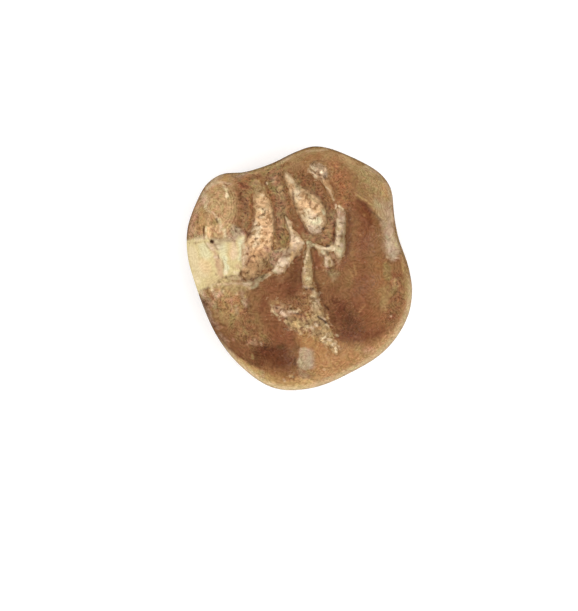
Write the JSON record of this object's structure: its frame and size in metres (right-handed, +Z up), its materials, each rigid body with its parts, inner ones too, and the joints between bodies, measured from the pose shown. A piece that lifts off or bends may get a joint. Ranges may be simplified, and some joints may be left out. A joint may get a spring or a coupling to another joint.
{
  "type": "fossil rodent cheek tooth",
  "caption": "Low-crowned fossil rodent cheek tooth with a worn, ridged chewing surface, silt-packed valleys and broken root stubs that it rests on.",
  "frame": {"origin": "under the middle of the crown, on the plane of the broken root ends that the tooth rests on", "axes": "+Z up, out of the chewing surface; +Y towards the cheek side, along the longest side of the crown; +X towards the front of the jaw"},
  "size_m": [0.0028, 0.003, 0.0018],
  "materials": {
    "fossil_enamel": "glossy brown fossil enamel, with matt tan silt in its valleys"
  },
  "bodies": {
    "root": {"tooth": "fossil_enamel"}
  },
  "joints": []
}
